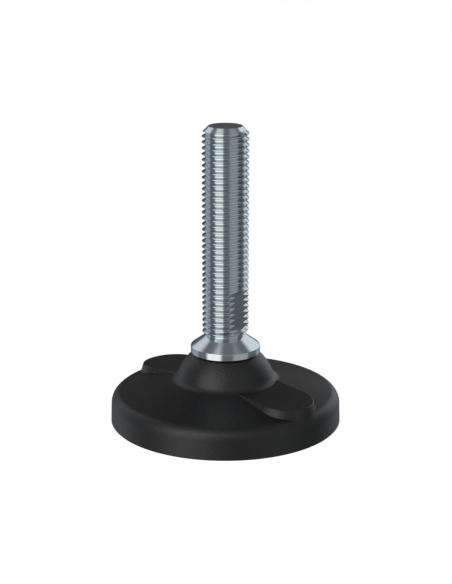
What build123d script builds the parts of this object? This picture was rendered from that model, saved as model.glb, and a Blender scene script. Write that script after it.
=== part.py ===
from build123d import *
from math import asin, cos, degrees, radians, sin, sqrt, tan
import os

# Levelling foot for a machine: a round moulded base, a threaded stud that ends in a ball,
# and a split wire ring that keeps the ball in its socket.
# Millimetres. The origin is the centre of the underside, on the floor, and +Z runs up the stud.
# +X runs out through the middle of one fixing lug, and the wrench flats face along X at rest.

# Base, outside
base_diameter = 80.0
side_draft = 1.8  # degrees off vertical
side_height = 10.0  # to the sharp corner that the side fillet rounds off
side_fillet = 4.15
foot_chamfer = 0.4
disc_slope = 13.6  # degrees, rising towards the middle
dome_radius = 17.65
dome_fillet = 3.6

# Fixing lugs
lug_width = 19.7
lug_margin = 2.2  # from the round end of a lug's top to the base's edge
lug_rise = 1.5  # of a lug's top above the disc, at the middle of its round end
lug_slope = 4.9  # degrees, falling outwards
lug_draft = 20.6  # degrees, of the lug's wall
lug_depth = 8.0
lug_edge_fillet = 0.35
fixing_hole_diameter = 9.0
fixing_boss_wall = 2.3
fixing_hole_skin = 2.0  # left over each blind fixing hole

# Base, ribbed underside
rim_wall = 3.2
disc_wall = 3.2
hub_radius = 15.0
rib_wall = 1.8
inner_rib_count = 16
outer_rib_count = 24

# Ball joint
ball_height = 11.0  # centre of the ball, the socket and the dome
ball_diameter = 16.0
ball_clearance = 0.1
tilt_limit = 15.0  # degrees either way
mouth_clearance = 0.4  # left beside the neck at full tilt
ring_wire_diameter = 1.6
ring_angle = 24.0  # degrees above the ball's equator
ring_gap_angle = 34.0  # degrees, the split in the ring
groove_clearance = 0.1

# Stud
neck_diameter = 10.0
collar_diameter = 24.1
collar_gap = 0.78  # between the dome and the hollow underside of the collar
collar_rim = 2.2
collar_cone = 3.85
thread_diameter = 16.0
thread_length = 72.7  # from the top of the collar's cone to the tip
thread_root_diameter = 13.55
thread_relief = 0.3
tip_chamfer = 2.2
flat_width = 13.0  # across the two wrench flats
flat_length = 12.6
flat_rise = 3.3  # from the top of the collar's cone to the flats
flat_foot_angle = 15.0  # degrees, the slope of the flats' lower ends
flat_end_angle = 57.0  # degrees, the slope of the flats' upper ends

base_radius = base_diameter / 2
ball_radius = ball_diameter / 2
socket_radius = ball_radius + ball_clearance
neck_radius = neck_diameter / 2
collar_radius = collar_diameter / 2
thread_radius = thread_diameter / 2
root_radius = thread_root_diameter / 2

side_lean = tan(radians(side_draft))
disc_rise = tan(radians(disc_slope))
side_top_radius = base_radius - side_height * side_lean
disc_peak = side_height + side_top_radius * disc_rise
dome_top = ball_height + dome_radius
cut_overrun = 1.0  # how far a cut runs on past the surface that it opens


def disc_height(radius):
    """Height of the sloping top of the disc, at a distance from the axis."""
    return disc_peak - radius * disc_rise


# Outer form: the drafted side, the sloping disc and the dome over the ball
with BuildPart() as shell:
    with BuildSketch(Plane.XZ) as section:
        with BuildLine():
            Polyline((0, 0), (base_radius, 0), (side_top_radius, side_height), (0, disc_peak), close=True)
        make_face()
        with Locations((0, ball_height)):
            Circle(dome_radius)
        Rectangle(base_radius, dome_top, align=Align.MIN, mode=Mode.INTERSECT)
        dome_corner = section.vertices().sort_by(Axis.Y)[3]
        fillet(dome_corner, dome_fillet)
        side_corner = section.vertices().sort_by(Axis.Y)[2]
        fillet(side_corner, side_fillet)
        foot_corner = section.vertices().group_by(Axis.Y)[0].sort_by(Axis.X)[-1]
        chamfer(foot_corner, foot_chamfer)
    revolve(axis=Axis.Z)

# One lug: a flat top with a round end, on a drafted wall that never leaves the base's side
lug_radius = lug_width / 2
lug_centre = base_radius - lug_margin - lug_radius
lug_height = disc_height(lug_centre) + lug_rise
lug_lean = radians(lug_slope)
lug_top = Plane(
    origin=(lug_centre, 0, lug_height),
    x_dir=(cos(lug_lean), 0, -sin(lug_lean)),
    z_dir=(sin(lug_lean), 0, cos(lug_lean)),
)

with BuildPart() as lug:
    with BuildSketch(lug_top):
        Circle(lug_radius)
        Rectangle(lug_centre, lug_width, align=(Align.MAX, Align.CENTER))
    extrude(amount=lug_depth, dir=-lug_top.z_dir, taper=-lug_draft)
    top_edges = lug.faces().sort_by(Axis(lug_top.origin, lug_top.z_dir))[-1].edges()
    fillet(top_edges, lug_edge_fillet)
    with BuildSketch(Plane.XZ):
        with BuildLine():
            Polyline(
                (0, 0),
                (base_radius, 0),
                (base_radius - dome_top * side_lean, dome_top),
                (0, dome_top),
                close=True,
            )
        make_face()
    revolve(axis=Axis.Z, mode=Mode.INTERSECT)

# Hollow cells of the underside, between the rim, the hub, the ribs and the fixing bosses
rim_inner_radius = base_radius - rim_wall
disc_drop = disc_wall / cos(radians(disc_slope))
cell_rim_height = disc_height(rim_inner_radius) - disc_drop
cell_hub_height = disc_height(hub_radius) - disc_drop
ring_rib_radius = (hub_radius + rim_inner_radius) / 2
fixing_boss_radius = fixing_hole_diameter / 2 + fixing_boss_wall
fixing_hole_depth = lug_height - fixing_hole_skin

with BuildPart() as cells:
    with BuildSketch(Plane.XZ):
        with BuildLine():
            Polyline(
                (hub_radius, 0),
                (rim_inner_radius, 0),
                (rim_inner_radius - cell_rim_height * side_lean, cell_rim_height),
                (hub_radius, cell_hub_height),
                close=True,
            )
        make_face()
    revolve(axis=Axis.Z)
    with BuildSketch():
        Circle(ring_rib_radius + rib_wall / 2)
        Circle(ring_rib_radius - rib_wall / 2, mode=Mode.SUBTRACT)
        with PolarLocations(0, inner_rib_count):
            Rectangle(ring_rib_radius, rib_wall, align=(Align.MIN, Align.CENTER))
        with PolarLocations(ring_rib_radius, outer_rib_count):
            Rectangle(base_radius - ring_rib_radius, rib_wall, align=(Align.MIN, Align.CENTER))
        with PolarLocations(lug_centre, 2):
            Circle(fixing_boss_radius)
    extrude(amount=cell_hub_height, mode=Mode.SUBTRACT)

# Socket: a half sphere under the ball, a bore that lets the ball in, the ring's groove,
# and a mouth that clears the neck at full tilt
tilt_lean = tan(radians(tilt_limit))
mouth_foot = (neck_radius + mouth_clearance) / cos(radians(tilt_limit))
mouth_start = (socket_radius - mouth_foot) / tilt_lean
mouth_reach = dome_radius + cut_overrun

ring_wire_radius = ring_wire_diameter / 2
ring_distance = ball_radius + ball_clearance + ring_wire_radius
ring_radius = ring_distance * cos(radians(ring_angle))
ring_height = ball_height + ring_distance * sin(radians(ring_angle))
ring_spread = socket_radius - (ring_radius - ring_wire_radius)
groove_radius = ring_radius + ring_wire_radius + ring_spread + groove_clearance
groove_width = ring_wire_diameter + 2 * groove_clearance

with BuildPart() as socket:
    with BuildSketch(Plane.XZ):
        with BuildLine():
            CenterArc((0, ball_height), socket_radius, -90, 90)
            Polyline(
                (socket_radius, ball_height),
                (socket_radius, ball_height + mouth_start),
                (mouth_foot + mouth_reach * tilt_lean, ball_height + mouth_reach),
                (0, ball_height + mouth_reach),
                (0, ball_height - socket_radius),
            )
        make_face()
        with Locations((0, ring_height)):
            Rectangle(groove_radius, groove_width, align=(Align.MIN, Align.CENTER))
    revolve(axis=Axis.Z)

# Base moulding
with BuildPart() as base:
    add(shell.part)
    add(lug.part)
    add(mirror(lug.part, about=Plane.YZ))
    add(cells.part, mode=Mode.SUBTRACT)
    add(socket.part, mode=Mode.SUBTRACT)
    with BuildSketch():
        with PolarLocations(lug_centre, 2):
            Circle(fixing_hole_diameter / 2)
    extrude(amount=fixing_hole_depth, mode=Mode.SUBTRACT)

# Retaining ring, split at +X so that it can spread over the ball
with BuildPart() as retaining_ring:
    with BuildLine(Plane.XY.offset(ring_height)) as ring_line:
        CenterArc((0, 0), ring_radius, ring_gap_angle / 2, 360 - ring_gap_angle)
    with BuildSketch(Plane(ring_line.line @ 0, z_dir=ring_line.line % 0)):
        Circle(ring_wire_radius)
    sweep()

# Stud: ball, neck, collar with a hollow underside, and the thread's outside diameter
collar_sweep = dome_radius + collar_gap
neck_ball_angle = degrees(asin(neck_radius / ball_radius))
neck_collar_angle = degrees(asin(neck_radius / collar_sweep))
collar_edge_angle = degrees(asin(collar_radius / collar_sweep))
neck_foot = ball_height + sqrt(ball_radius**2 - neck_radius**2)
neck_head = ball_height + sqrt(collar_sweep**2 - neck_radius**2)
collar_foot = ball_height + sqrt(collar_sweep**2 - collar_radius**2)
collar_shoulder = collar_foot + collar_rim
thread_foot = collar_shoulder + collar_cone
tip_height = thread_foot + thread_length
run_out = thread_radius - root_radius

flat_foot = thread_foot + flat_rise
flat_head = flat_foot + flat_length
flat_half = flat_width / 2
flat_reach = thread_radius - flat_half + cut_overrun
flat_foot_slope = flat_reach * tan(radians(flat_foot_angle))
flat_head_slope = flat_reach * tan(radians(flat_end_angle))

with BuildPart() as stud:
    with BuildSketch(Plane.XZ):
        with BuildLine():
            CenterArc((0, ball_height), ball_radius, -90, 180 - neck_ball_angle)
            Line((neck_radius, neck_foot), (neck_radius, neck_head))
            CenterArc(
                (0, ball_height),
                collar_sweep,
                90 - neck_collar_angle,
                neck_collar_angle - collar_edge_angle,
            )
            Polyline(
                (collar_radius, collar_foot),
                (collar_radius, collar_shoulder),
                (root_radius, thread_foot),
                (root_radius, thread_foot + thread_relief),
                (thread_radius, thread_foot + thread_relief + run_out),
                (thread_radius, tip_height - tip_chamfer),
                (thread_radius - tip_chamfer, tip_height),
                (0, tip_height),
                (0, ball_height - ball_radius),
            )
        make_face()
    revolve(axis=Axis.Z)
    with BuildSketch(Plane.XZ):
        with BuildLine():
            Polyline(
                (flat_half, flat_foot),
                (flat_half + flat_reach, flat_foot - flat_foot_slope),
                (flat_half + flat_reach, flat_head + flat_head_slope),
                (flat_half, flat_head),
                close=True,
            )
        make_face()
        mirror(about=Plane.YZ)
    extrude(amount=thread_diameter, both=True, mode=Mode.SUBTRACT)

os.makedirs("parts", exist_ok=True)

base.part.label = "base"
export_step(base.part, "parts/base.step")

retaining_ring.part.label = "retaining_ring"
export_step(retaining_ring.part, "parts/retaining_ring.step")

stud.part.label = "stud"
export_step(stud.part, "parts/stud.step")
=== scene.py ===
import bpy
from math import asin, atan, cos, degrees, pi, radians, sin, sqrt, tan
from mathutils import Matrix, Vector


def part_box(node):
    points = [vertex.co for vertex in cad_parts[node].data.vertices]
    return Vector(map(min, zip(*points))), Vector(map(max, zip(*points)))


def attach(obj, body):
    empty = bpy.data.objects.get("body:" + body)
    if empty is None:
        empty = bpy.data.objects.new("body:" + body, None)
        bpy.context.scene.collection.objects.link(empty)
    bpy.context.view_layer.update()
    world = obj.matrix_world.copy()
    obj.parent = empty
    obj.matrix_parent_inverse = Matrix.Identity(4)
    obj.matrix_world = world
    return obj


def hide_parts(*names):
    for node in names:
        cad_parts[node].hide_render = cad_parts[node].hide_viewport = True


# A levelling foot for a machine: a zinc-plated stud on a ball, in a round base of black polyamide.
# The frame is in metres. Sizes in the dictionaries are in millimetres and degrees.

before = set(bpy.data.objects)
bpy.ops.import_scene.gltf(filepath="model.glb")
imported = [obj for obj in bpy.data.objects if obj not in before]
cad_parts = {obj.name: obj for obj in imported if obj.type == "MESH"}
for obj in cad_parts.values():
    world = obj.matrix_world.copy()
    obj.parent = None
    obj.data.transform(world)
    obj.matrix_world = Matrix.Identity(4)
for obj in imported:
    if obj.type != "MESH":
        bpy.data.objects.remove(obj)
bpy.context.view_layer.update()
mm = 0.001
print("frame loaded")


def linearColour(code):
    # "#rrggbb" in sRGB, as linear red, green, blue and alpha
    shares = [int(code[place:place + 2], 16) / 255 for place in (1, 3, 5)]
    return (*[s / 12.92 if s <= 0.04045 else ((s + 0.055) / 1.055) ** 2.4 for s in shares], 1.0)


def addNode(tree, kind, settings={}, values={}, links={}):
    node = tree.nodes.new(kind)
    for name, value in settings.items():
        setattr(node, name, value)
    for name, value in values.items():
        node.inputs[name].default_value = value
    for name, source in links.items():
        tree.links.new(source, node.inputs[name])
    return node


def newMaterial(name):
    material = bpy.data.materials.new(name)
    material.use_nodes = True
    material.node_tree.nodes.clear()
    return material, material.node_tree


def glossRange(look):
    # The roughness where a pattern is darkest and where it is brightest
    spread = look["glossSpread"]
    return {"To Min": look["roughness"] - spread, "To Max": look["roughness"] + spread}


# Materials

polyamideLook = {
    "colour": "#080808",
    "roughness": 0.38,
    "glossSpread": 0.04,  # of the roughness, either way, along the flow marks
    "refraction": 1.58,
    "grain": 0.5,  # mm between the bumps of the moulded texture, drawn coarser than it is to show
    "grainDepth": 0.12,  # mm
    "flowLength": 9.0,  # mm, of the faint flow marks in the gloss
}


def glassFilledPolyamide():
    # Injection moulded in a finely eroded mould: near black, matt, with a fine even grain
    look = polyamideLook
    material, tree = newMaterial("glassFilledPolyamideMoulded")
    place = addNode(tree, "ShaderNodeTexCoord").outputs["Object"]
    grain = addNode(tree, "ShaderNodeTexNoise",
                    values={"Scale": 1 / (look["grain"] * mm), "Detail": 2.0},
                    links={"Vector": place})
    flow = addNode(tree, "ShaderNodeTexNoise",
                   values={"Scale": 1 / (look["flowLength"] * mm), "Detail": 3.0},
                   links={"Vector": place})
    gloss = addNode(tree, "ShaderNodeMapRange",
                    values=glossRange(look),
                    links={"Value": flow.outputs["Fac"]})
    bump = addNode(tree, "ShaderNodeBump", values={"Strength": 1.0, "Distance": look["grainDepth"] * mm},
                   links={"Height": grain.outputs["Fac"]})
    shader = addNode(tree, "ShaderNodeBsdfPrincipled",
                     values={"Base Color": linearColour(look["colour"]), "IOR": look["refraction"]},
                     links={"Roughness": gloss.outputs["Result"], "Normal": bump.outputs["Normal"]})
    addNode(tree, "ShaderNodeOutputMaterial", links={"Surface": shader.outputs["BSDF"]})
    return material


zincLook = {
    "colour": "#dde4e6",
    "glancing": "#e6f1ff",  # tint of what it mirrors at a shallow angle, from the blue passivation
    "roughness": 0.11,
    "glossSpread": 0.03,
    "cloudSize": 5.0,  # mm, of the soft patches in the plating's gloss
}


def zincPlatedSteel():
    # Turned and rolled steel, barrel zinc-plated and blue-passivated: bright, slightly cool, satin
    look = zincLook
    material, tree = newMaterial("zincPlatedSteelTurned")
    place = addNode(tree, "ShaderNodeTexCoord").outputs["Object"]
    cloud = addNode(tree, "ShaderNodeTexNoise",
                    values={"Scale": 1 / (look["cloudSize"] * mm), "Detail": 3.0},
                    links={"Vector": place})
    gloss = addNode(tree, "ShaderNodeMapRange",
                    values=glossRange(look),
                    links={"Value": cloud.outputs["Fac"]})
    shader = addNode(tree, "ShaderNodeBsdfPrincipled",
                     values={"Base Color": linearColour(look["colour"]), "Metallic": 1.0,
                             "Specular Tint": linearColour(look["glancing"])},
                     links={"Roughness": gloss.outputs["Result"]})
    addNode(tree, "ShaderNodeOutputMaterial", links={"Surface": shader.outputs["BSDF"]})
    return material


springLook = {
    "colour": "#9a9da1",
    "roughness": 0.3,
    "glossSpread": 0.05,
    "streakSize": 1.0,  # mm
}


def drawnSpringSteel():
    # Patented spring wire, drawn through dies: grey, with a dull gloss
    look = springLook
    material, tree = newMaterial("springSteelDrawn")
    place = addNode(tree, "ShaderNodeTexCoord").outputs["Object"]
    streak = addNode(tree, "ShaderNodeTexNoise",
                     values={"Scale": 1 / (look["streakSize"] * mm), "Detail": 2.0},
                     links={"Vector": place})
    gloss = addNode(tree, "ShaderNodeMapRange",
                    values=glossRange(look),
                    links={"Value": streak.outputs["Fac"]})
    shader = addNode(tree, "ShaderNodeBsdfPrincipled",
                     values={"Base Color": linearColour(look["colour"]), "Metallic": 1.0},
                     links={"Roughness": gloss.outputs["Result"]})
    addNode(tree, "ShaderNodeOutputMaterial", links={"Surface": shader.outputs["BSDF"]})
    return material


# Camera

viewpoint = {
    "azimuth": 44.8,  # round the stud, from -Y towards +X
    "distance": 515.2,  # level, from the stud's axis
    "height": 196.3,
    "lookDown": 16.26,
    "lens": 96.4,
    "sensor": 36.0,
    "frameShift": 0.0009,  # the stud stands half a pixel left of the picture's middle
    "nearClip": 10.0,
}


def placeCamera():
    view = viewpoint
    around = radians(view["azimuth"])
    away = view["distance"] * mm
    bpy.ops.object.camera_add(location=(away * sin(around), -away * cos(around), view["height"] * mm),
                              rotation=(radians(90 - view["lookDown"]), 0, around))
    camera = bpy.context.active_object
    camera.data.lens = view["lens"]
    camera.data.sensor_width = view["sensor"]
    camera.data.shift_x = view["frameShift"]
    camera.data.clip_start = view["nearClip"] * mm
    bpy.context.scene.camera = camera


placeCamera()
print("camera placed")


# Modelling helpers

mergeDistance = 1e-6  # metres, under which two points are one


def startMesh():
    if bpy.context.mode != "OBJECT":
        bpy.ops.object.mode_set(mode="OBJECT")
    bpy.ops.object.select_all(action="DESELECT")


def drawProfile(name, points):
    # A plane merged to one corner, then extruded from corner to corner. Points are (radius, height) in mm.
    startMesh()
    corners = [Vector((r * mm, 0, z * mm)) for r, z in points]
    bpy.ops.mesh.primitive_plane_add(size=mm, location=corners[0])
    piece = bpy.context.active_object
    piece.name = name
    bpy.ops.object.transform_apply(location=True, rotation=True, scale=True)
    bpy.ops.object.mode_set(mode="EDIT")
    bpy.ops.mesh.select_mode(type="VERT")
    bpy.ops.mesh.select_all(action="SELECT")
    bpy.ops.mesh.merge(type="CENTER")
    for start, end in zip(corners, corners[1:]):
        bpy.ops.mesh.extrude_region_move(TRANSFORM_OT_translate={"value": end - start})
    return piece


def finishMesh(piece):
    bpy.ops.object.mode_set(mode="EDIT")
    bpy.ops.mesh.select_all(action="SELECT")
    bpy.ops.mesh.remove_doubles(threshold=mergeDistance)
    bpy.ops.mesh.dissolve_degenerate(threshold=mergeDistance)
    bpy.ops.mesh.normals_make_consistent(inside=False)
    bpy.ops.object.mode_set(mode="OBJECT")
    return piece


def turnProfile(name, points, steps):
    piece = drawProfile(name, points)
    bpy.ops.mesh.select_all(action="SELECT")
    bpy.ops.mesh.spin(steps=steps, angle=radians(360), center=(0, 0, 0), axis=(0, 0, 1))
    return finishMesh(piece)


def applyBoolean(piece, tool, operation):
    startMesh()
    bpy.context.view_layer.objects.active = piece
    piece.select_set(True)
    modifier = piece.modifiers.new(operation.lower(), "BOOLEAN")
    modifier.operation = operation
    modifier.solver = "EXACT"
    modifier.object = tool
    bpy.ops.object.modifier_apply(modifier=modifier.name)
    bpy.data.objects.remove(tool, do_unlink=True)


def arcPoints(centre, radius, startAngle, endAngle, steps):
    # Points from startAngle to endAngle above the level, round a centre (radius, height)
    turn = (endAngle - startAngle) / steps
    angles = [radians(startAngle + turn * step) for step in range(steps + 1)]
    return [(centre[0] + radius * cos(a), centre[1] + radius * sin(a)) for a in angles]


# Stud. Its thread, flats and collar are one piece of steel.

studSizes = {
    "ballHeight": 11.0,
    "ballRadius": 8.0,
    "neckRadius": 5.0,
    "hollowRadius": 18.43,  # of the collar's underside, round the ball's centre
    "rimHeight": 2.2,
    "rimBevel": 0.1,
    "coneHeight": 3.85,
    "coneRadius": 0.3,  # in the corner between the cone and the thread's undercut
    "joinDepth": 1.0,  # by which the body reaches into the thread, so that they join as one solid
    "sharpAngle": 38.0,  # from which an edge shows as sharp
    "turnSteps": 144,
    "arcSteps": 16,
}

threadSizes = {
    "pitch": 2.0,
    "majorRadius": 8.0,
    "rootRadius": 6.78,
    "flankAngle": 60.0,  # between the two flanks
    "crestWidth": 0.25,
    "crestRound": 0.06,
    "rootRound": 0.29,
    "undercutRadius": 6.5,
    "undercutHeight": 0.1,  # between the cone and the thread
    "runOutSlope": 30.0,  # of the thread's lower end, above the level
    "tipChamfer": 2.2,
    "overrun": 1.0,  # by which a tool passes the bar
    "undercutOverrun": 0.3,  # by which the turning tool goes under the undercut
    "spareTurns": 3,  # beyond each end, before it is cut to length
    "stepsPerTurn": 72,
    "rootSteps": 3,
    "crestSteps": 2,
    "frontCrest": 100.73,  # height of a crest that faces the camera
}

flatSizes = {
    "width": 13.0,  # across the two flats
    "length": 12.6,
    "rise": 3.3,  # from the cone's top in the solid to the flats
    "footAngle": 15.0,  # of the slopes at their lower and upper ends
    "endAngle": 57.0,
    "overrun": 1.0,  # by which the cutter passes the stud
}

studLow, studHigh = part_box("stud")
collarRadius = studHigh.x / mm
tipHeight = studHigh.z / mm
collarFoot = studSizes["ballHeight"] + sqrt(studSizes["hollowRadius"] ** 2 - collarRadius ** 2)
collarShoulder = collarFoot + studSizes["rimHeight"]
threadFoot = collarShoulder + studSizes["coneHeight"]
coneRun = (collarRadius - threadSizes["rootRadius"]) / studSizes["coneHeight"]
coneNormal = degrees(atan(coneRun))
coneTop = threadFoot + (threadSizes["rootRadius"] - threadSizes["undercutRadius"]) / coneRun


def turnedBody():
    # Ball, neck and collar, up to a core inside the thread
    sizes = studSizes
    ballTop = degrees(asin(sizes["neckRadius"] / sizes["ballRadius"]))
    neckTop = degrees(asin(sizes["neckRadius"] / sizes["hollowRadius"]))
    rimEdge = degrees(asin(collarRadius / sizes["hollowRadius"]))
    bevel = sizes["rimBevel"]
    core = threadSizes["undercutRadius"]
    curve = sizes["coneRadius"]
    curveTop = coneTop + curve * tan(radians(coneNormal / 2))
    ballCentre = (0, sizes["ballHeight"])
    points = arcPoints(ballCentre, sizes["ballRadius"], -90, 90 - ballTop, 2 * sizes["arcSteps"])
    points += arcPoints(ballCentre, sizes["hollowRadius"], 90 - neckTop, 90 - rimEdge, sizes["arcSteps"])
    points[-1] = (collarRadius - bevel, collarFoot)
    points += [
        (collarRadius, collarFoot + bevel),
        (collarRadius, collarShoulder - bevel),
        (collarRadius - bevel * coneRun, collarShoulder + bevel),
    ]
    points += arcPoints((core + curve, curveTop), curve, 180 + coneNormal, 180, sizes["arcSteps"])
    points += [(core - sizes["joinDepth"], curveTop + sizes["joinDepth"]), (0, curveTop + sizes["joinDepth"])]
    return turnProfile("stud", points, sizes["turnSteps"])


def threadEnvelope():
    # What is left of the bar once its run-out and its tip are turned
    sizes = threadSizes
    core = sizes["undercutRadius"]
    inner = core - sizes["undercutOverrun"]
    outer = sizes["majorRadius"] + sizes["overrun"]
    below = threadFoot - sizes["overrun"]
    foot = coneTop + sizes["undercutHeight"]
    rise = tan(radians(sizes["runOutSlope"]))
    points = [
        (0, below),
        (inner, below),
        (inner, foot - sizes["undercutOverrun"] * rise),
        (outer, foot + (outer - core) * rise),
        (outer, tipHeight - sizes["tipChamfer"] - sizes["overrun"]),
        (sizes["majorRadius"] - sizes["tipChamfer"], tipHeight),
        (0, tipHeight),
    ]
    return turnProfile("threadEnvelope", points, studSizes["turnSteps"])


def threadedBar():
    # One pitch of the thread's section, screwed up the stud past both ends and cut off level
    sizes = threadSizes
    pitch = sizes["pitch"]
    facing = radians(viewpoint["azimuth"] - 90)
    # The section stands at +X. A right-hand thread climbs one pitch a turn, counterclockwise from above.
    start = sizes["frontCrest"] - pitch * facing / radians(360)
    turns = int((tipHeight - threadFoot) / pitch) + 2 * sizes["spareTurns"]
    first = start - pitch * (turns - sizes["spareTurns"])
    lean = 90 - sizes["flankAngle"] / 2
    crestRadius = sizes["majorRadius"] - sizes["crestRound"]
    crestHalf = sizes["crestWidth"] / 2 - sizes["crestRound"] * tan(radians(lean / 2))
    rootRadius = sizes["rootRadius"] + sizes["rootRound"]
    rootSteps, crestSteps = sizes["rootSteps"], sizes["crestSteps"]
    points = arcPoints((rootRadius, first - pitch / 2), sizes["rootRound"], 180, 180 - lean, rootSteps)
    points += arcPoints((crestRadius, first - crestHalf), sizes["crestRound"], -lean, 0, crestSteps)
    points += arcPoints((crestRadius, first + crestHalf), sizes["crestRound"], 0, lean, crestSteps)
    points += arcPoints((rootRadius, first + pitch / 2), sizes["rootRound"], 180 + lean, 180, rootSteps)
    piece = drawProfile("threadedBar", points)
    bpy.ops.object.mode_set(mode="OBJECT")
    screw = piece.modifiers.new("screw", "SCREW")
    screw.axis = "Z"
    screw.angle = radians(360)
    screw.screw_offset = pitch * mm
    screw.iterations = turns
    screw.steps = sizes["stepsPerTurn"]
    screw.render_steps = sizes["stepsPerTurn"]
    screw.use_merge_vertices = True
    screw.merge_threshold = mergeDistance
    bpy.ops.object.modifier_apply(modifier="screw")
    finishMesh(piece)
    bpy.ops.object.mode_set(mode="EDIT")
    lowerCut = threadFoot - 2 * sizes["overrun"]
    upperCut = tipHeight + sizes["overrun"]
    for height, above in ((lowerCut, False), (upperCut, True)):
        bpy.ops.mesh.select_all(action="SELECT")
        bpy.ops.mesh.bisect(plane_co=(0, 0, height * mm), plane_no=(0, 0, 1), use_fill=True,
                            clear_inner=not above, clear_outer=above)
    bpy.ops.object.mode_set(mode="OBJECT")
    return finishMesh(piece)


def flatCutter(side):
    # A block beside the stud, with its outer edges moved up and down to slope both ends of the flat
    sizes = flatSizes
    inner = sizes["width"] / 2
    reach = threadSizes["majorRadius"] - inner + sizes["overrun"]
    foot = threadFoot + sizes["rise"]
    head = foot + sizes["length"]
    startMesh()
    centre = Vector((side * (inner + reach / 2) * mm, 0, (foot + head) / 2 * mm))
    bpy.ops.mesh.primitive_cube_add(size=1, location=centre)
    piece = bpy.context.active_object
    piece.name = "flatCutter"
    piece.scale = (reach * mm, 4 * inner * mm, (head - foot) * mm)
    bpy.ops.object.transform_apply(location=True, rotation=True, scale=True)
    for slope, isTop in ((sizes["footAngle"], False), (sizes["endAngle"], True)):
        bpy.ops.object.mode_set(mode="EDIT")
        bpy.ops.mesh.select_all(action="DESELECT")
        bpy.ops.object.mode_set(mode="OBJECT")
        level = head if isTop else foot
        for vertex in piece.data.vertices:
            outer = abs(vertex.co.x) > (inner + reach / 2) * mm
            vertex.select = outer and abs(vertex.co.z - level * mm) < mm
        bpy.ops.object.mode_set(mode="EDIT")
        rise = reach * tan(radians(slope)) * mm
        bpy.ops.transform.translate(value=(0, 0, rise if isTop else -rise))
    return finishMesh(piece)


def makeStud():
    bar = threadedBar()
    applyBoolean(bar, threadEnvelope(), "INTERSECT")
    stud = turnedBody()
    applyBoolean(stud, bar, "UNION")
    for side in (1, -1):
        applyBoolean(stud, flatCutter(side), "DIFFERENCE")
    finishMesh(stud)
    stud.name = "levellingStud"
    stud.data.name = "levellingStud"
    startMesh()
    stud.select_set(True)
    bpy.context.view_layer.objects.active = stud
    bpy.ops.object.shade_smooth_by_angle(angle=radians(studSizes["sharpAngle"]))
    weighting = stud.modifiers.new("weighting", "WEIGHTED_NORMAL")
    weighting.keep_sharp = True
    bpy.ops.object.modifier_apply(modifier="weighting")
    stud.data.materials.clear()
    stud.data.materials.append(zincPlatedSteel())
    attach(stud, "stud")
    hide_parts("stud")
    return stud


stud = makeStud()
print("stud made,", len(stud.data.polygons), "faces")

for node, material in (("base", glassFilledPolyamide()), ("retaining_ring", drawnSpringSteel())):
    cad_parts[node].data.materials[0] = material
print("base and retaining ring finished")


# Stage: a pale floor, soft lamps, and a tent of panels that only reflections see

def seenDirectly(tree):
    # 1 where the camera, a reflection or a view through something clear sees a surface, else 0
    path = addNode(tree, "ShaderNodeLightPath")
    seen = path.outputs["Is Camera Ray"]
    for ray in ("Is Glossy Ray", "Is Transmission Ray"):
        either = addNode(tree, "ShaderNodeMath", {"operation": "MAXIMUM"},
                         links={0: seen, 1: path.outputs[ray]})
        seen = either.outputs["Value"]
    return seen


floorLook = {
    "colour": "#f4f4f4",
    "radius": 4000.0,
    "drop": 0.02,  # under the base, so that no two faces share a plane
    "shadowShare": 0.1,  # of the floor's look that its own shading gives, so that the shadow stays faint
    "plainStrength": 1.02,  # of the rest, just over white to make up for that shading
    "corners": 96,
}


def layFloor():
    # A matt white floor that shows as plain white, with the object's faint shadow. It is clear from below,
    # and gloss shows the tent in its place.
    look = floorLook
    startMesh()
    bpy.ops.mesh.primitive_circle_add(vertices=look["corners"], radius=look["radius"] * mm, fill_type="NGON",
                                      location=(0, 0, -look["drop"] * mm))
    floor = bpy.context.active_object
    floor.name = "floor"
    material, tree = newMaterial("mattWhiteFloor")
    matt = addNode(tree, "ShaderNodeBsdfDiffuse", values={"Color": linearColour(look["colour"])})
    plain = addNode(tree, "ShaderNodeEmission",
                    values={"Color": (1, 1, 1, 1), "Strength": look["plainStrength"]})
    share = addNode(tree, "ShaderNodeMath", {"operation": "MULTIPLY"}, {1: 1 - look["shadowShare"]},
                    {0: seenDirectly(tree)})
    upper = addNode(tree, "ShaderNodeMixShader",
                    links={0: share.outputs["Value"], 1: matt.outputs["BSDF"], 2: plain.outputs["Emission"]})
    below = addNode(tree, "ShaderNodeNewGeometry").outputs["Backfacing"]
    clear = addNode(tree, "ShaderNodeBsdfTransparent")
    surface = addNode(tree, "ShaderNodeMixShader",
                      links={0: below, 1: upper.outputs["Shader"], 2: clear.outputs["BSDF"]})
    addNode(tree, "ShaderNodeOutputMaterial", links={"Surface": surface.outputs["Shader"]})
    floor.data.materials.append(material)
    floor.visible_glossy = False
    floor.visible_diffuse = False  # the sky lights the underside through it
    floor.visible_shadow = False


skyLook = {
    "colour": "#f6f6f6",
    "strength": 0.85,  # of the soft light from all round
}


def lightSky():
    world = bpy.data.worlds.new("paleStudio")
    bpy.context.scene.world = world
    world.use_nodes = True
    tree = world.node_tree
    tree.nodes.clear()
    soft = addNode(tree, "ShaderNodeBackground",
                   values={"Color": linearColour(skyLook["colour"]), "Strength": skyLook["strength"]})
    plain = addNode(tree, "ShaderNodeBackground", values={"Color": (1, 1, 1, 1), "Strength": 1.0})
    sky = addNode(tree, "ShaderNodeMixShader",
                  links={0: seenDirectly(tree), 1: soft.outputs["Background"],
                         2: plain.outputs["Background"]})
    addNode(tree, "ShaderNodeOutputWorld", links={"Surface": sky.outputs["Shader"]})


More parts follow.
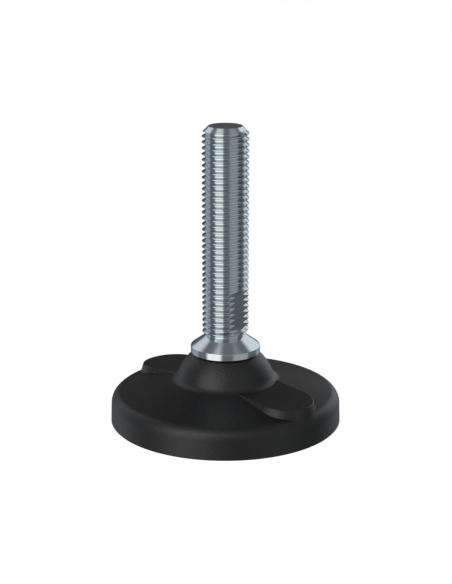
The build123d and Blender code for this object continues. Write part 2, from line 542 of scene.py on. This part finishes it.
# Each lamp's azimuth is counted to the right of the camera, and its elevation above the level
lamps = {
    "keyLamp": {
        "azimuth": -40, "elevation": 38, "distance": 700, "size": 450, "watts": 6.0, "colour": "#ffffff",
    },
    "fillLamp": {
        "azimuth": 48, "elevation": 30, "distance": 700, "size": 350, "watts": 2.0, "colour": "#ffffff",
    },
}


def hangLamps():
    for name, lamp in lamps.items():
        around = radians(viewpoint["azimuth"] + lamp["azimuth"])
        up = radians(lamp["elevation"])
        toLamp = Vector((sin(around) * cos(up), -cos(around) * cos(up), sin(up)))
        bpy.ops.object.light_add(type="AREA", location=toLamp * lamp["distance"] * mm,
                                 rotation=toLamp.to_track_quat("Z", "Y").to_euler())
        light = bpy.context.active_object
        light.name = name
        light.data.size = lamp["size"] * mm
        light.data.energy = lamp["watts"]
        light.data.color = linearColour(lamp["colour"])[:3]
        light.visible_glossy = False


tent = {
    "radius": 5000.0,
    "colour": "#f1f6ff",  # of the dim cloth between the panels
    "strength": 0.172,
    "segments": 96,
    "rings": 48,
}

# The tent's panels, each over a range of azimuths to the right of the camera and a range of height angles.
# The edges of a panel are "soft" by one angle across and another up and down.
tentPanels = {
    "rightGap": {
        "azimuth": (70, 121), "height": (-90, -15.5), "soft": (10, 6), "colour": "#edf5ff", "strength": 0.104,
    },
    "backTop": {
        "azimuth": (142, 212), "height": (30, 62), "soft": (20, 20), "colour": "#f4f8ff", "strength": 0.02,
    },
    "backGap": {
        "azimuth": (160, 202), "height": (-6, 30), "soft": (12, 14), "colour": "#fffaf6", "strength": 0.1,
    },
    "backLeftFar": {
        "azimuth": (-200, -135), "height": (-90, -14), "soft": (30, 6), "colour": "#f2f7ff", "strength": 0.24,
    },
    "backLeftFloor": {
        "azimuth": (-138, -102), "height": (-90, -17), "soft": (8, 8), "colour": "#f2f7ff", "strength": 0.6,
    },
    "backRightFloor": {
        "azimuth": (121, 162), "height": (-90, 0), "soft": (14, 8), "colour": "#eef6ff", "strength": 0.38,
    },
    "leftGlow": {
        "azimuth": (-148, -100), "height": (-15, 16), "soft": (14, 8), "colour": "#f3f9ff", "strength": 0.5,
    },
    "backLeftPanel": {
        "azimuth": (-153, -114), "height": (17, 47), "soft": (16, 14), "colour": "#f4f8ff", "strength": 0.76,
    },
    "backRightHigh": {
        "azimuth": (118, 148), "height": (18, 46), "soft": (14, 14), "colour": "#f6fbff", "strength": 0.84,
    },
    "backRightLow": {
        "azimuth": (126, 165), "height": (-5, 27), "soft": (14, 10), "colour": "#f6fbff", "strength": 0.88,
    },
    "fillPanel": {
        "azimuth": (25, 79), "height": (-90, 66), "soft": (12, 12), "colour": "#fcffff", "strength": 0.384,
    },
    "fillTop": {
        "azimuth": (50, 104), "height": (52, 74), "soft": (20, 10), "colour": "#f7faff", "strength": 0.32,
    },
    "frontPanel": {
        "azimuth": (-14, 25), "height": (16, 52), "soft": (12, 14), "colour": "#fcffff", "strength": 0.48,
    },
    "keyFloor": {
        "azimuth": (-63, -14), "height": (-90, -21), "soft": (12, 8), "colour": "#fffefb", "strength": 0.58,
    },
    "keyPanel": {
        "azimuth": (-63, -14), "height": (-24, 60), "soft": (12, 8), "colour": "#fffefb", "strength": 1.1,
    },
    "keyHeart": {
        "azimuth": (-66, -14), "height": (14, 50), "soft": (14, 16), "colour": "#fffefb", "strength": 1.68,
    },
    "keyTop": {
        "azimuth": (-97, -32), "height": (58, 80), "soft": (20, 14), "colour": "#fbffff", "strength": 0.68,
    },
}


def rangeMask(tree, angle, limits, softness):
    # 1 where an angle in radians is within two limits in degrees, and 0 outside them, with soft edges
    middle = radians((limits[0] + limits[1]) / 2)
    half = radians((limits[1] - limits[0]) / 2)
    soft = radians(softness) / 2
    offset = addNode(tree, "ShaderNodeMath", {"operation": "SUBTRACT"}, {1: middle}, {0: angle})
    turned = addNode(tree, "ShaderNodeMath", {"operation": "WRAP"}, {1: pi, 2: -pi},
                     {0: offset.outputs["Value"]})
    distance = addNode(tree, "ShaderNodeMath", {"operation": "ABSOLUTE"}, links={0: turned.outputs["Value"]})
    mask = addNode(tree, "ShaderNodeMapRange", {"interpolation_type": "SMOOTHSTEP"},
                   {"From Min": half - soft, "From Max": half + soft, "To Min": 1.0, "To Max": 0.0},
                   {"Value": distance.outputs["Value"]})
    return mask.outputs["Result"]


def tentCloth():
    # Lit softboxes behind pale cloth, laid one over another by their direction from the object
    material, tree = newMaterial("litTentCloth")
    place = addNode(tree, "ShaderNodeTexCoord").outputs["Object"]
    facing = addNode(tree, "ShaderNodeVectorRotate", {"rotation_type": "Z_AXIS"},
                     {"Angle": radians(90 - viewpoint["azimuth"])}, {"Vector": place})
    axes = addNode(tree, "ShaderNodeSeparateXYZ", links={"Vector": facing.outputs["Vector"]})
    azimuth = addNode(tree, "ShaderNodeMath", {"operation": "ARCTAN2"},
                      links={0: axes.outputs["Y"], 1: axes.outputs["X"]})
    share = addNode(tree, "ShaderNodeMath", {"operation": "DIVIDE"}, {1: tent["radius"] * mm},
                    {0: axes.outputs["Z"]})
    height = addNode(tree, "ShaderNodeMath", {"operation": "ARCSINE"}, links={0: share.outputs["Value"]})
    cloth = addNode(tree, "ShaderNodeEmission",
                    values={"Color": linearColour(tent["colour"]), "Strength": tent["strength"]})
    surface = cloth.outputs["Emission"]
    for panel in tentPanels.values():
        glow = addNode(tree, "ShaderNodeEmission",
                       values={"Color": linearColour(panel["colour"]), "Strength": panel["strength"]})
        across, upright = panel["soft"]
        mask = addNode(tree, "ShaderNodeMath", {"operation": "MULTIPLY"},
                       links={0: rangeMask(tree, azimuth.outputs["Value"], panel["azimuth"], across),
                              1: rangeMask(tree, height.outputs["Value"], panel["height"], upright)})
        layer = addNode(tree, "ShaderNodeMixShader",
                        links={0: mask.outputs["Value"], 1: surface, 2: glow.outputs["Emission"]})
        surface = layer.outputs["Shader"]
    addNode(tree, "ShaderNodeOutputMaterial", links={"Surface": surface})
    material.cycles.emission_sampling = "NONE"
    return material


def raiseTent():
    # A wide sphere round the object, which only reflections see
    startMesh()
    bpy.ops.mesh.primitive_uv_sphere_add(segments=tent["segments"], ring_count=tent["rings"],
                                         radius=tent["radius"] * mm)
    sphere = bpy.context.active_object
    sphere.name = "reflectionTent"
    sphere.data.materials.append(tentCloth())
    sphere.visible_camera = False
    sphere.visible_diffuse = False
    sphere.visible_shadow = False
    sphere.visible_transmission = False


layFloor()
lightSky()
hangLamps()
raiseTent()
bpy.context.scene.view_settings.view_transform = "Standard"
print("stage set")
